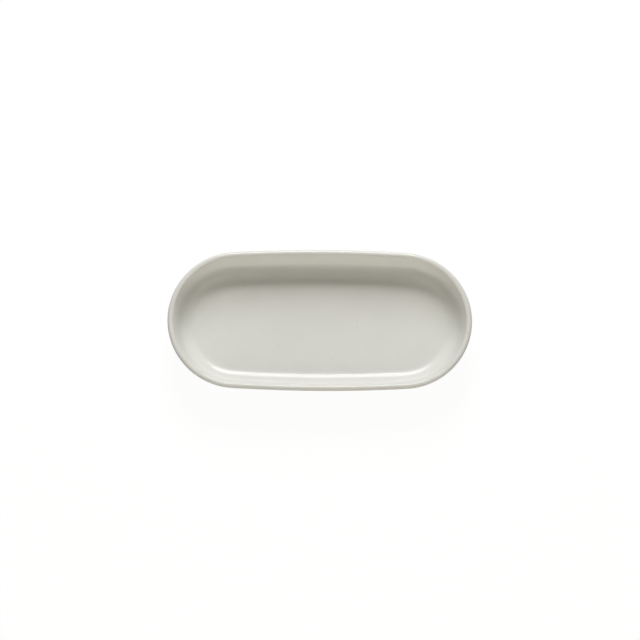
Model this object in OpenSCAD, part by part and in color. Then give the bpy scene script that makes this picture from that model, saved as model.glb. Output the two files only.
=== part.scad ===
// Oval asparagus plate in glazed stoneware.
// One pressed clay body carries the floor, the steep wall, the rounded lip and a low foot ring.
// Three glaze coats lie on it: in the well, on the outside, and under the base inside the foot.
// The foot ring's face is bare clay, because a glazed face would stick to the kiln shelf.
// Frame: X along the plate, Z up, origin on the ground under the middle of the plate.

/* [Plan] */
// Length of the plate over the lip
plate_l = 290; // [240:1:340]
// Width of the plate over the lip
plate_w = 137.5; // [110:0.5:170]
// Extra half width in the middle of each long side, over the radius of the round ends
side_bow = 2.4; // [1.5:0.1:5]

/* [Section] */
// Depth of the well, from the top of the lip to the floor
well_depth = 30; // [22:0.5:38]
// Lean of the wall, as its run outward in each 24 mm of height
wall_out = 7; // [3:0.5:10]
// Inside radius between the floor and the wall
corner_r = 15; // [8:0.5:20]
// Thickness of the fired clay in the floor and the wall
clay_t = 4.8; // [4:0.1:6.5]

/* [Foot ring] */
// Height of the foot ring below the base
foot_h = 1.6; // [1:0.1:4]
// Width of the bare face that the plate stands on
foot_face_w = 4; // [2.5:0.1:8]
// Slope of each flank of the foot ring, measured across
foot_draft = 0.6; // [0.2:0.1:1.2]
// Strip of flat base left between the foot ring and the outer corner
foot_inset = 1; // [0.5:0.1:6]

/* [Glaze] */
// Thickness of each glaze coat
glaze_t = 0.4; // [0.2:0.05:0.8]

/* [Hidden] */

$fn = 96;
// Facets that a full turn of a long side's arc would have
side_fn = 1440;
// Room that cutting shapes take beyond what they cut
cut_pad = 1;
// Extra turn of a side's arc at each end, in degrees, before it is cut off at the seam
sweep_pad = 1;
// Step that the centres of the plan's arcs are rounded to
plan_step = 0.01;
// Lap of the wall over the corner, so that rounded sizes leave no gap at their joint
joint_lap = 0.0005;
// Lap of each side over the ends and over the other side, for the same reason
seam_lap = 0.002;
// Height that the wall's lean is counted over
lean_height = 24;

clay_colour = [0.80, 0.74, 0.64];
inner_glaze_colour = [0.84, 0.84, 0.80];
outer_glaze_colour = [0.83, 0.83, 0.79];
base_glaze_colour = [0.82, 0.82, 0.78];

// Plan: two round ends and two shallow side arcs that run into each other without a kink
half_w = plate_w / 2;
end_x = round_part(plate_l / 2 - half_w + side_bow);
side_centre_y = round_part((pow(side_bow, 2) - pow(end_x, 2)) / (2 * side_bow));
side_r = half_w - side_centre_y;
end_r = side_r - norm([end_x, side_centre_y]);
seam_dir = [end_x, -side_centre_y] / norm([end_x, side_centre_y]);
side_sweep = ceil(atan2(end_x, -side_centre_y)) + sweep_pad;

// Section: offsets are counted from the clay's middle line, positive towards the well
wall_lean = atan2(wall_out, lean_height);
clay_half = clay_t / 2;
full_half = clay_half + glaze_t;
plate_h = foot_h + 2 * full_half + well_depth;
floor_mid_z = foot_h + full_half;
lip_x = -full_half;
lip_z = plate_h - full_half;
corner_mid_r = corner_r + full_half;
corner_z = floor_mid_z + corner_mid_r;
wall_foot_z = corner_z - corner_mid_r * sin(wall_lean);
wall_run = (lip_z - wall_foot_z) / cos(wall_lean);
corner_x = lip_x - wall_run * sin(wall_lean) - corner_mid_r * cos(wall_lean);
floor_reach = half_w + cut_pad;

// Foot ring: its outer flank starts just inside the outer corner
foot_outer_x = corner_x - foot_inset;
foot_ground_x = foot_outer_x - foot_draft;
foot_inner_ground_x = foot_ground_x - foot_face_w;
foot_inner_x = foot_inner_ground_x - foot_draft;

// Strip of the section between two offsets from the clay's middle line
module band(low, high) {
    translate([-floor_reach, floor_mid_z + low])
        square([floor_reach + corner_x, high - low]);
    corner_band(low, high);
    translate([lip_x, lip_z])
        rotate(-wall_lean) {
            translate([-high, -wall_run - joint_lap])
                square([high - low, wall_run + joint_lap]);
            lip_band(low, high);
        }
}

// Part of that strip in the rounded corner between the floor and the wall
module corner_band(low, high) {
    spread = 2 * (corner_mid_r + full_half);
    translate([corner_x, corner_z])
        intersection() {
            difference() {
                circle(corner_mid_r - low);
                circle(corner_mid_r - high);
            }
            polygon([
                [0, 0],
                [0, -spread],
                [spread, -spread],
                [spread * cos(wall_lean), -spread * sin(wall_lean)]
            ]);
        }
}

// Part of that strip over the rounded lip, in line with the wall
module lip_band(low, high) {
    if (high > 0)
        lip_quarter(max(low, 0), high);
    if (low < 0)
        rotate(-90)
            lip_quarter(max(-high, 0), -low);
}

module lip_quarter(inner_r, outer_r) {
    intersection() {
        difference() {
            circle(outer_r);
            if (inner_r > 0)
                circle(inner_r);
        }
        translate([-full_half - cut_pad, 0])
            square(full_half + cut_pad);
    }
}

// Everything under the floor's middle line from one foot flank inwards
module under_floor(top_x, ground_x) {
    polygon([
        [-floor_reach, 0],
        [ground_x, 0],
        [top_x, floor_mid_z],
        [-floor_reach, floor_mid_z]
    ]);
}

module foot_section() {
    polygon([
        [foot_inner_ground_x, 0],
        [foot_ground_x, 0],
        [foot_outer_x, floor_mid_z],
        [foot_inner_x, floor_mid_z]
    ]);
}

// Carries a section, drawn with x = 0 at the lip's outer edge, around the oval plan
module oval_sweep() {
    for (turn = [0, 180])
        rotate(turn) {
            intersection() {
                translate([end_x, 0, 0])
                    rotate_extrude(start = -90, angle = 180)
                        intersection() {
                            at_radius(end_r)
                                children();
                            translate([0, -cut_pad])
                                square([end_r + cut_pad, plate_h + 2 * cut_pad]);
                        }
                plan_prism(end_plan());
            }
            intersection() {
                translate([0, side_centre_y, 0])
                    rotate_extrude(start = 90 - side_sweep, angle = 2 * side_sweep, $fn = side_fn)
                        at_radius(side_r)
                            children();
                plan_prism(side_plan());
            }
        }
}

// Moves a section out to a radius by a round part and then the rest, which keeps the seams exact
module at_radius(radius) {
    translate([round_part(radius), 0])
        translate([radius - round_part(radius), 0])
            children();
}

module plan_prism(outline) {
    translate([0, 0, -cut_pad])
        linear_extrude(plate_h + 2 * cut_pad)
            polygon(outline);
}

function round_part(size) = round(size / plan_step) * plan_step;

// The seams between an end and its sides run from the end's centre square to the lip
function seam_tip() = [end_x, 0] + plate_w * seam_dir;

function end_plan() = [
    [end_x, 0],
    [seam_tip().x, -seam_tip().y],
    [plate_l, -seam_tip().y],
    [plate_l, seam_tip().y],
    seam_tip()
];

function side_plan() = [
    [-end_x - seam_lap, -seam_lap],
    [end_x + seam_lap, -seam_lap],
    [seam_tip().x + seam_lap, seam_tip().y],
    [-seam_tip().x - seam_lap, seam_tip().y]
];

module stoneware_body() {
    color(clay_colour)
        oval_sweep() {
            union() {
                band(-clay_half, clay_half);
                foot_section();
            }
        }
}

module inner_glaze() {
    color(inner_glaze_colour)
        oval_sweep()
            band(clay_half, full_half);
}

module outer_glaze() {
    color(outer_glaze_colour)
        oval_sweep()
            difference() {
                band(-full_half, -clay_half);
                under_floor(foot_outer_x, foot_ground_x);
            }
}

module base_glaze() {
    color(base_glaze_colour)
        oval_sweep()
            intersection() {
                band(-full_half, -clay_half);
                under_floor(foot_inner_x, foot_inner_ground_x);
            }
}

stoneware_body();
inner_glaze();
outer_glaze();
base_glaze();
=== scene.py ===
import math

import bpy
import numpy as np
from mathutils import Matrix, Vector


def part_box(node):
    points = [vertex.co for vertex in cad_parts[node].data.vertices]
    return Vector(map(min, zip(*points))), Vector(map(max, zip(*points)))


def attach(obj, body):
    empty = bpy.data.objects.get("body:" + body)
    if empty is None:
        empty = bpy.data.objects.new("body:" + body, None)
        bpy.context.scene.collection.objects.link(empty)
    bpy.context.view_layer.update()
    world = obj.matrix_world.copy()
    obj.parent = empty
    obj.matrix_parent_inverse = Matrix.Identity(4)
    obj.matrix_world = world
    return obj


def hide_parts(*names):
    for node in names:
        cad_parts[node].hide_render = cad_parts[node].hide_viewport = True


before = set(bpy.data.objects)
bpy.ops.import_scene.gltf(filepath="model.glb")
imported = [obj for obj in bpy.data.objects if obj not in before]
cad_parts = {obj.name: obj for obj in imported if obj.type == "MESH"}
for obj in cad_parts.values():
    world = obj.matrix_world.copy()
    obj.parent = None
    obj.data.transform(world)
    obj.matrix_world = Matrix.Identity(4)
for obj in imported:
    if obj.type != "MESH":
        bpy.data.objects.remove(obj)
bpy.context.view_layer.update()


# Stoneware body
# One slab of buff stoneware, pressed in a mould and fired: floor, wall, lip and foot ring are one piece.
# Glaze covers all of it but the foot ring, which was wiped clean so as not to stick to the kiln shelf.

MM = 0.001

base_low, base_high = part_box("base_glaze")
well_low, well_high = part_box("inner_glaze")
plate_low, plate_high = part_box("outer_glaze")
plate_l = plate_high.x - plate_low.x
plate_w = plate_high.y - plate_low.y
plate_h = well_high.z
foot_h = base_low.z
glaze_t = base_high.z - base_low.z
clay_t = well_low.z - base_high.z

side_bow = 2.4 * MM
wall_out = 7 * MM
lean_height = 24 * MM
corner_r = 15 * MM
foot_face_w = 4 * MM
foot_draft = 0.6 * MM
foot_inset = 1 * MM
foot_edge_r = 0.5 * MM

# What the kiln did to the lip at most, and how sharply that grows with the height above the base
lip_drawn_in = 0.35 * MM
lip_sunk = 0.2 * MM
warp_growth = 1.5

# How finely the mesh is divided
floor_step = 6 * MM
corner_steps = 28
wall_steps = 12
lip_steps = 20
flank_steps = 3
foot_edge_steps = 5
foot_face_steps = 4
base_steps = 5
end_steps = 72
side_steps = 60

# Section, with x = 0 at the lip's outer edge and offsets counted from the clay's middle line
wall_lean = math.atan2(wall_out, lean_height)
clay_half = clay_t / 2
full_half = clay_half + glaze_t
floor_mid_z = foot_h + full_half
lip_centre = np.array([-full_half, plate_h - full_half])
corner_mid_r = corner_r + full_half
corner_z = floor_mid_z + corner_mid_r
wall_run = (lip_centre[1] - corner_z + corner_mid_r * math.sin(wall_lean)) / math.cos(wall_lean)
corner_x = lip_centre[0] - wall_run * math.sin(wall_lean) - corner_mid_r * math.cos(wall_lean)
foot_outer_x = corner_x - foot_inset
foot_inner_x = foot_outer_x - 2 * foot_draft - foot_face_w
middle_x = side_bow - plate_w / 2 + floor_step


def run(start, stop, steps):
    """Points evenly along a straight run of the section."""
    return np.linspace(start, stop, steps + 1)


def bend(centre, radius, start, stop, steps):
    """Points along an arc of the section, from one angle to another, in degrees."""
    turn = np.radians(np.linspace(start, stop, steps + 1))
    return np.asarray(centre) + radius * np.column_stack([np.cos(turn), np.sin(turn)])


def joined(*stretches):
    """Stretches of the section that run smoothly into each other, as one stroke."""
    return np.vstack([stretches[0]] + [stretch[1:] for stretch in stretches[1:]])


def clay_line(offset, start_x):
    """The clay's middle line moved to one side: along the floor, round the corner, up to the lip's crown."""
    lean = math.degrees(wall_lean)
    floor_z = floor_mid_z + offset
    floor_steps = max(2, math.ceil((corner_x - start_x) / floor_step))
    floor = run([start_x, floor_z], [corner_x, floor_z], floor_steps)
    corner = bend([corner_x, corner_z], corner_mid_r - offset, -90, -lean, corner_steps)
    lip_from = 180 - lean if offset > 0 else -lean
    lip = bend(lip_centre, abs(offset), lip_from, 90 - lean, lip_steps)
    return joined(floor, corner, run(corner[-1], lip[0], wall_steps), lip)


def flank_x(top_x, outward, z):
    """Where a sloping flank of the foot ring stands at a height: outward is 1 for the outer one, else -1."""
    return top_x - outward * foot_draft * (1 - z / floor_mid_z)


def oval_plan():
    """Points once round the lip's outer edge, two round ends and two long sides, and the way out at each."""
    end_r = plate_w / 2 - side_bow
    end_x = plate_l / 2 - end_r
    side_y = (end_x ** 2 - side_bow ** 2) / (2 * side_bow)
    side_r = side_y + plate_w / 2
    seam = math.atan2(end_x, side_y)
    points, outward = [], []
    for turn in (0, math.pi):
        for centre, radius, middle, half, steps in (
            ([end_x, 0], end_r, 0, math.pi / 2 - seam, end_steps),
            ([0, -side_y], side_r, math.pi / 2, seam, side_steps),
        ):
            facing = turn + middle + np.linspace(-half, half, steps, endpoint=False)
            direction = np.column_stack([np.cos(facing), np.sin(facing)])
            points.append(np.array(centre) * math.cos(turn) + radius * direction)
            outward.append(direction)
    return np.vstack(points), np.vstack(outward)


def firing_warp(count, most, seed):
    """How far the lip moved in the kiln at each point round the plate: a slow wave from 0 to the most."""
    draw = np.random.default_rng(seed)
    turn = np.linspace(0, 2 * math.pi, count, endpoint=False)
    wave = np.zeros(count)
    for humps in range(2, 9):
        strength = draw.uniform(0.4, 1) / humps
        start = draw.uniform(0, 6.3)
        wave += strength * np.sin(humps * turn + start)
    return most * (wave - wave.min()) / (wave.max() - wave.min())


def swept_piece(name, strokes, over_the_middle=True):
    """Carries the strokes of a section once round the plate as one closed mesh, with creases between them.
    A section that reaches the middle starts and ends there, and a strip across closes it above and below."""
    points, outward = oval_plan()
    count = len(points)
    section = joined(*strokes)
    if not over_the_middle:
        section = section[:-1]
    rows = len(section)

    rise = np.clip((section[:, 1] - foot_h) / (plate_h - foot_h), 0, 1) ** warp_growth
    drawn_in = np.outer(firing_warp(count, lip_drawn_in, seed=3), rise)
    sunk = np.outer(firing_warp(count, lip_sunk, seed=8), rise)
    across = section[:, 0] - drawn_in
    grid = np.empty((count, rows, 3))
    grid[..., :2] = points[:, None, :] + outward[:, None, :] * across[..., None]
    grid[..., 2] = section[:, 1] - sunk

    faces, normals = [], []
    first = 0
    for stroke in strokes:
        columns = [(first + k) % rows for k in range(len(stroke))]
        patch = grid[:, columns]
        around = np.roll(patch, -1, 0) - np.roll(patch, 1, 0)
        along = np.gradient(patch, axis=1, edge_order=2 if len(stroke) > 2 else 1)
        facing = np.cross(along, around)
        facing /= np.linalg.norm(facing, axis=2, keepdims=True)
        for i in range(count):
            j = (i + 1) % count
            for k in range(len(stroke) - 1):
                a, b = columns[k], columns[k + 1]
                faces.append([i * rows + a, i * rows + b, j * rows + b, j * rows + a])
                normals += [facing[i, k], facing[i, k + 1], facing[j, k + 1], facing[j, k]]
        first += len(stroke) - 1

    # The strip's faces run from each pair of points to the same pair on the other side of the plate
    if over_the_middle:
        for row, up in ((0, 1.0), (rows - 1, -1.0)):
            for i in range(end_steps // 2, end_steps // 2 + count // 2):
                pairs = [i, i + 1, end_steps - i - 1, end_steps - i]
                corners = list(dict.fromkeys(k % count for k in pairs))
                if up < 0:
                    corners.reverse()
                faces.append([k * rows + row for k in corners])
                normals += [[0, 0, up]] * len(corners)

    mesh = bpy.data.meshes.new(name)
    mesh.from_pydata(grid.reshape(-1, 3).tolist(), [], faces, shade_flat=False)
    mesh.normals_split_custom_set(normals)
    piece = bpy.data.objects.new(name, mesh)
    bpy.context.scene.collection.objects.link(piece)
    return piece


def linear(colour):
    """An sRGB hex colour as the linear colour that a shader takes."""
    shares = [int(colour[k:k + 2], 16) / 255 for k in (0, 2, 4)]
    return [s / 12.92 if s <= 0.04045 else ((s + 0.055) / 1.055) ** 2.4 for s in shares] + [1]


def add_node(tree, kind, sockets, **settings):
    """Adds one shader node: its settings, and for each input socket a value or the output that feeds it."""
    made = tree.nodes.new("ShaderNode" + kind)
    for name, value in settings.items():
        setattr(made, name, value)
    for name, value in sockets.items():
        if isinstance(value, bpy.types.NodeSocket):
            tree.links.new(value, made.inputs[name])
        else:
            made.inputs[name].default_value = value
    return made.outputs


def new_material(name):
    """An empty node material and its tree."""
    material = bpy.data.materials.new(name)
    material.use_nodes = True
    material.node_tree.nodes.clear()
    return material, material.node_tree


# Buff stoneware, fired and left bare: dry and matt, with fine sand that catches light and a few iron specks.
# The sand grains are 0.2 mm in the real clay and are drawn at 0.6 mm so that they show.
grain = 0.6 * MM
grain_height = 0.05 * MM
iron_spacing = 4 * MM
iron_r = 0.5 * MM
iron_strength = 0.7
# A noise pattern seldom leaves this range
noise_low, noise_high = 0.3, 0.7
# The Mix node's colour sockets share their names with others, so they are taken by number
mix_under, mix_over, mix_result = 6, 7, 2

dry_stoneware, tree = new_material("stoneware_fired_dry")
place = add_node(tree, "TexCoord", {})["Object"]
sand = add_node(tree, "TexNoise", {
    "Vector": place, "Scale": 1 / grain, "Detail": 4, "Roughness": 0.6,
})["Fac"]
tone = add_node(tree, "ValToRGB", {"Fac": sand})["Color"]
ramp = tree.nodes[-1].color_ramp
ramp.elements[0].position, ramp.elements[1].position = noise_low, noise_high
ramp.elements[0].color, ramp.elements[1].color = linear("AD9C80"), linear("C9BA9F")
iron = add_node(tree, "TexVoronoi", {"Vector": place, "Scale": 1 / iron_spacing})["Distance"]
spot = add_node(tree, "MapRange", {
    "Value": iron, "From Min": 0, "From Max": iron_r / iron_spacing, "To Min": iron_strength, "To Max": 0,
})["Result"]
speckled = add_node(tree, "Mix", {
    "Factor": spot, mix_under: tone, mix_over: linear("6B4F39"),
}, data_type="RGBA")[mix_result]
rough = add_node(tree, "MapRange", {"Value": sand, "To Min": 0.8, "To Max": 0.95})["Result"]
dents = add_node(tree, "Bump", {"Height": sand, "Distance": grain_height})["Normal"]
clay = add_node(tree, "BsdfPrincipled", {
    "Base Color": speckled, "Roughness": rough, "Normal": dents, "IOR": 1.5,
})["BSDF"]
add_node(tree, "OutputMaterial", {"Surface": clay})

clay_bottom_z = floor_mid_z - clay_half
outer_top_x = flank_x(foot_outer_x, 1, clay_bottom_z)
inner_top_x = flank_x(foot_inner_x, -1, clay_bottom_z)
outer_flank_x = flank_x(foot_outer_x, 1, foot_edge_r)
inner_flank_x = flank_x(foot_inner_x, -1, foot_edge_r)
outer_edge = [outer_flank_x - foot_edge_r, foot_edge_r]
inner_edge = [inner_flank_x + foot_edge_r, foot_edge_r]
foot_outline = joined(
    run([outer_top_x, clay_bottom_z], [outer_flank_x, foot_edge_r], flank_steps),
    bend(outer_edge, foot_edge_r, 0, -90, foot_edge_steps),
    run([outer_edge[0], 0], [inner_edge[0], 0], foot_face_steps),
    bend(inner_edge, foot_edge_r, -90, -180, foot_edge_steps),
    run([inner_flank_x, foot_edge_r], [inner_top_x, clay_bottom_z], flank_steps),
)
stoneware_body = swept_piece("stoneware_body_fired", [
    clay_line(clay_half, middle_x),
    clay_line(-clay_half, foot_outline[0][0])[::-1],
    foot_outline,
    run(foot_outline[-1], [middle_x, clay_bottom_z], base_steps),
])
stoneware_body.data.materials.append(dry_stoneware)
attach(stoneware_body, "root")
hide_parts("stoneware_body")


# Well glaze
# The coat that was poured into the well and swirled: floor, corner, inner wall and inner half of the lip.
# It is a white glass 0.4 mm thick, fused to the clay in the kiln.

# White glaze, fired to a soft gloss: light sinks into the cloudy glass and comes back evenly, and the thin
# clear skin draws a lamp as a fine bright line. It has faint clouds, a slow ripple and a few small iron
# specks that came up from the clay.
cloud = 26 * MM
mottle = 2.2 * MM
mottle_share = 0.35
ripple = 4 * MM
ripple_height = 0.006 * MM
speck_spacing = 9 * MM
speck_r = 0.5 * MM
speck_core_r = 0.1 * MM
speck_strength = 0.6

white_glaze, tree = new_material("white_glaze_fired_soft_gloss")
place = add_node(tree, "TexCoord", {})["Object"]
clouds = add_node(tree, "TexNoise", {"Vector": place, "Scale": 1 / cloud, "Detail": 2})["Fac"]
mottles = add_node(tree, "TexNoise", {"Vector": place, "Scale": 1 / mottle, "Detail": 3})["Fac"]
depth = add_node(tree, "Mix", {"Factor": mottle_share, "A": clouds, "B": mottles})["Result"]
milk = add_node(tree, "ValToRGB", {"Fac": depth})["Color"]
ramp = tree.nodes[-1].color_ramp
ramp.elements[0].position, ramp.elements[1].position = noise_low, noise_high
ramp.elements[0].color, ramp.elements[1].color = linear("DEDFDA"), linear("E2E3DF")
iron = add_node(tree, "TexVoronoi", {"Vector": place, "Scale": 1 / speck_spacing})["Distance"]
spot = add_node(tree, "MapRange", {
    "Value": iron, "From Min": speck_core_r / speck_spacing, "From Max": speck_r / speck_spacing,
    "To Min": speck_strength, "To Max": 0,
})["Result"]
speckled = add_node(tree, "Mix", {
    "Factor": spot, mix_under: milk, mix_over: linear("8C8474"),
}, data_type="RGBA")[mix_result]
rough = add_node(tree, "MapRange", {"Value": clouds, "To Min": 0.4, "To Max": 0.5})["Result"]
waves = add_node(tree, "TexNoise", {"Vector": place, "Scale": 1 / ripple, "Detail": 1})["Fac"]
skin = add_node(tree, "Bump", {"Height": waves, "Distance": ripple_height})["Normal"]
glass = add_node(tree, "BsdfPrincipled", {
    "Base Color": speckled, "Roughness": rough, "Normal": skin, "IOR": 1.5, "Specular IOR Level": 0.2,
    "Coat Weight": 0.45, "Coat Roughness": 0.12, "Coat Normal": skin,
})["BSDF"]
add_node(tree, "OutputMaterial", {"Surface": glass})

well_skin = clay_line(full_half, middle_x)
well_clay = clay_line(clay_half, middle_x)
well_glaze = swept_piece("well_glaze_coat", [
    well_skin,
    run(well_skin[-1], well_clay[-1], 1),
    well_clay[::-1],
])
well_glaze.data.materials.append(white_glaze)
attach(well_glaze, "root")
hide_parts("inner_glaze")


# Outside glaze
# The coat that the outside took when the plate was dipped: outer half of the lip, outer wall, heel and the
# base up to the foot ring, where it draws back to a round edge against the bare clay.

coat_top_z = foot_h + glaze_t
coat_edge_steps = 6
heel_end_x = flank_x(foot_outer_x, 1, coat_top_z)
outside_skin = clay_line(-full_half, heel_end_x + glaze_t)
heel_edge = bend([heel_end_x + glaze_t, coat_top_z], glaze_t, -90, -180, coat_edge_steps)
outside_clay = clay_line(-clay_half, heel_end_x)
outside_glaze = swept_piece("outside_glaze_coat", [
    joined(outside_skin[::-1], heel_edge),
    outside_clay,
    run(outside_clay[-1], outside_skin[-1], 1),
], over_the_middle=False)
outside_glaze.data.materials.append(white_glaze)
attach(outside_glaze, "root")
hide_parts("outer_glaze")


# Base glaze
# The same dipped coat under the base, inside the foot ring. The wiped ring parts it from the coat outside,
# and it ends in a round edge along the bare clay.

base_end_x = flank_x(foot_inner_x, -1, coat_top_z)
base_edge = bend([base_end_x - glaze_t, coat_top_z], glaze_t, 0, -90, coat_edge_steps)
base_glaze = swept_piece("base_glaze_coat", [
    run([middle_x, coat_top_z], base_edge[0], base_steps),
    joined(base_edge, run(base_edge[-1], [middle_x, foot_h], base_steps)),
])
base_glaze.data.materials.append(white_glaze)
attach(base_glaze, "root")
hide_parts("base_glaze")


# Floor and surroundings
# A sweep of white paper that reads as plain white to the camera and in reflections, and still takes the
# plate's shadow. For the light that it throws back on the plate it is a pale grey.

floor_half = 3.0
floor_drop = 0.05 * MM
shadow_share = 0.07
paper_glow = 0.95
fill_glow = 0.1

floor_mesh = bpy.data.meshes.new("floor")
corners = [(x * floor_half, y * floor_half, -floor_drop) for x, y in ((-1, -1), (1, -1), (1, 1), (-1, 1))]
floor_mesh.from_pydata(corners, [], [(0, 1, 2, 3)])
floor = bpy.data.objects.new("floor", floor_mesh)
bpy.context.scene.collection.objects.link(floor)


def seen_rays(tree):
    """1 for rays that show a surface, directly or in a reflection, and 0 for those that only carry light."""
    rays = add_node(tree, "LightPath", {})
    share = rays["Is Camera Ray"]
    for kind in ("Is Glossy Ray", "Is Transmission Ray"):
        share = add_node(tree, "Math", {0: share, 1: rays[kind]}, operation="MAXIMUM")["Value"]
    return share


# White paper, matt: no sheen, even white, and a faint soft shadow under the plate.
white_paper, tree = new_material("white_paper_matt")
lit = add_node(tree, "BsdfDiffuse", {"Color": linear("BDBDBC")})["BSDF"]
shade = add_node(tree, "BsdfDiffuse", {"Color": [shadow_share] * 3 + [1]})["BSDF"]
glow = add_node(tree, "Emission", {"Strength": paper_glow})["Emission"]
shown = add_node(tree, "AddShader", {0: shade, 1: glow})["Shader"]
paper = add_node(tree, "MixShader", {0: seen_rays(tree), 1: lit, 2: shown})["Shader"]
add_node(tree, "OutputMaterial", {"Surface": paper})
floor_mesh.materials.append(white_paper)

studio = bpy.data.worlds.new("studio")
studio.use_nodes = True
tree = studio.node_tree
tree.nodes.clear()
fill = add_node(tree, "Background", {"Color": linear("FFEED3"), "Strength": fill_glow})["Background"]
white = add_node(tree, "Background", {"Color": linear("FFFFFF"), "Strength": 1})["Background"]
around = add_node(tree, "MixShader", {0: seen_rays(tree), 1: fill, 2: white})["Shader"]
add_node(tree, "OutputWorld", {"Surface": around})
bpy.context.scene.world = studio


# Lamps
# Soft boxes round the plate. The main one, brighter along its top, stands behind it, so that the back corner
# falls into shade and the front corner shows a thin bright line. A low strip in front lights the top of the
# back wall, and two weak boxes fill in; these three are a little warm.

for name, azimuth, elevation, away, width, tall, power, colour in (
    ("key_softbox", 0, 39, 1.6, 0.78, 0.8, 20.0, "FFFFFF"),
    ("key_top_strip", 0, 49.5, 1.6, 0.75, 0.2, 2.7, "FFFFFF"),
    ("front_strip", 180, 11, 1.4, 1.8, 0.11, 6.0, "FFFBF3"),
    ("front_left_fill", -145, 42, 1.8, 0.96, 0.63, 3.2, "FFF9EC"),
    ("front_right_fill", 145, 42, 1.8, 0.96, 0.63, 3.9, "FFF9EC"),
):
    lamp = bpy.data.lights.new(name, "AREA")
    lamp.shape = "RECTANGLE"
    lamp.size, lamp.size_y = width, tall
    lamp.energy = power
    lamp.color = linear(colour)[:3]
    stand = bpy.data.objects.new(name, lamp)
    turn, lift = math.radians(azimuth), math.radians(elevation)
    from_plate = Vector((math.sin(turn) * math.cos(lift), math.cos(turn) * math.cos(lift), math.sin(lift)))
    stand.location = from_plate * away
    stand.rotation_euler = from_plate.to_track_quat("Z", "Y").to_euler()
    bpy.context.scene.collection.objects.link(stand)


# Camera
# It looks down on the plate from high in front and from far off, as a catalogue picture does. The plate's
# length and place in the picture, in pixels, set its lens and its shift.

image_px = 640
plate_px = 305.3
plate_middle_px = (319.7, 319.5)
view_lift = math.radians(78)
view_turn = math.radians(0.4)
view_away = 2.5
sensor_mm = 36

camera = bpy.data.cameras.new("camera")
camera.sensor_width = sensor_mm
camera.lens = sensor_mm * view_away / (plate_l * image_px / plate_px)
camera.shift_x = (image_px / 2 - plate_middle_px[0]) / image_px
camera.shift_y = (plate_middle_px[1] - image_px / 2) / image_px
viewer = bpy.data.objects.new("camera", camera)
back = Vector((
    math.sin(view_turn) * math.cos(view_lift),
    -math.cos(view_turn) * math.cos(view_lift),
    math.sin(view_lift),
))
viewer.location = Vector((0, 0, plate_h)) + back * view_away
viewer.rotation_euler = back.to_track_quat("Z", "Y").to_euler()
bpy.context.scene.collection.objects.link(viewer)
bpy.context.scene.camera = viewer
bpy.context.scene.view_settings.view_transform = "Standard"
